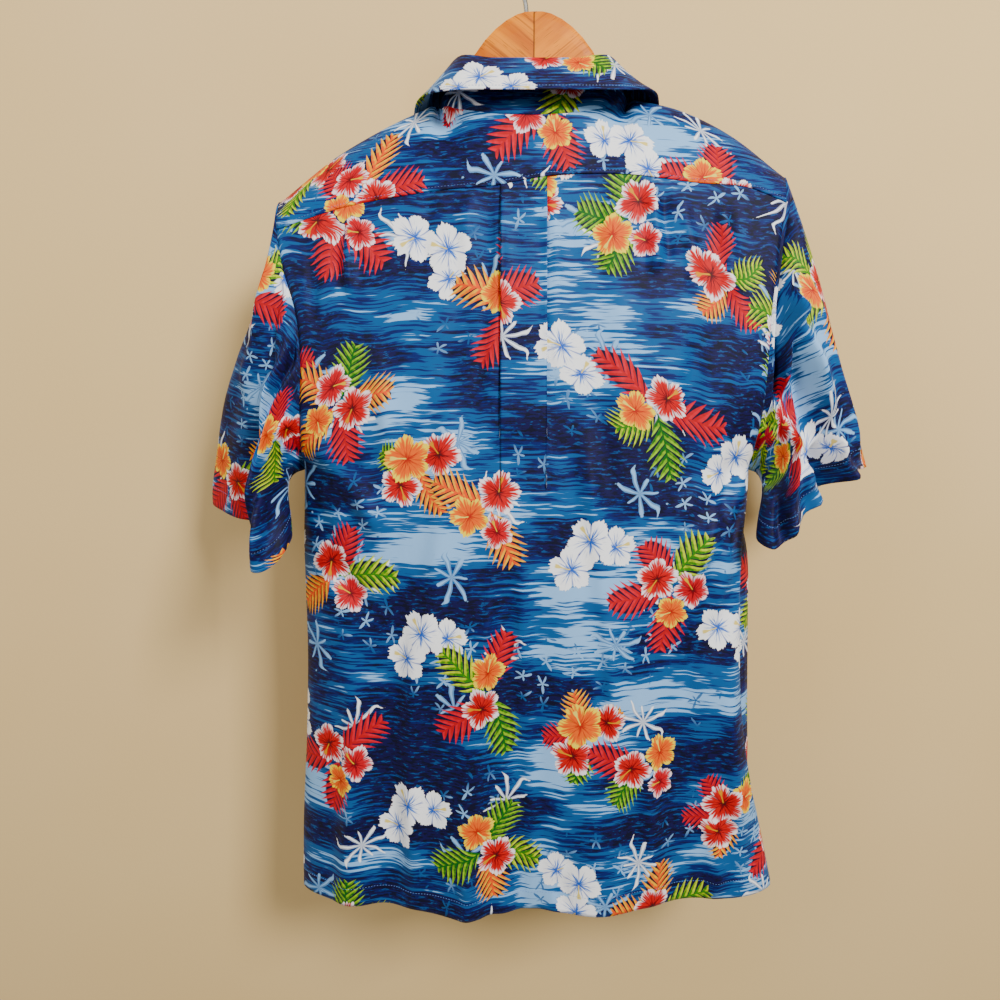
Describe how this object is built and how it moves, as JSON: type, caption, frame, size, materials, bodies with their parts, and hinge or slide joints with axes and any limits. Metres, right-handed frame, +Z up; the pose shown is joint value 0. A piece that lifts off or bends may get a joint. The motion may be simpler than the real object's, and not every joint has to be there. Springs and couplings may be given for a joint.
{
  "type": "short-sleeved camp-collar shirt on a wooden hanger",
  "caption": "Short-sleeved buttoned shirt in a floral print, with back yoke, box pleat, one-piece collar and side vents, hanging on a wooden hanger with a wire hook.",
  "frame": {"origin": "underside of the crown of the hanger's hook, where a rail carries it", "axes": "+Z up; +Y towards the back of the shirt, -Y towards its buttoned front; +X towards the wearer's left sleeve"},
  "size_m": [0.7021, 0.1664, 0.9595],
  "materials": {
    "printed_cloth": "smooth light woven cloth with a printed pattern, satin",
    "button_plastic": "polished",
    "hanger_wood": "clear varnish",
    "hook_wire": "plated wire"
  },
  "bodies": {
    "root": {"back": "printed_cloth", "yoke": "printed_cloth", "front_left": "printed_cloth", "front_right": "printed_cloth", "sleeve_left_back": "printed_cloth", "sleeve_left_front": "printed_cloth", "sleeve_right": "printed_cloth", "collar": "printed_cloth", "button_1": "button_plastic", "button_2": "button_plastic", "button_3": "button_plastic", "button_4": "button_plastic", "button_5": "button_plastic", "button_6": "button_plastic", "hanger_left": "hanger_wood", "hanger_right": "hanger_wood", "hanger_hook": "hook_wire"}
  },
  "joints": []
}
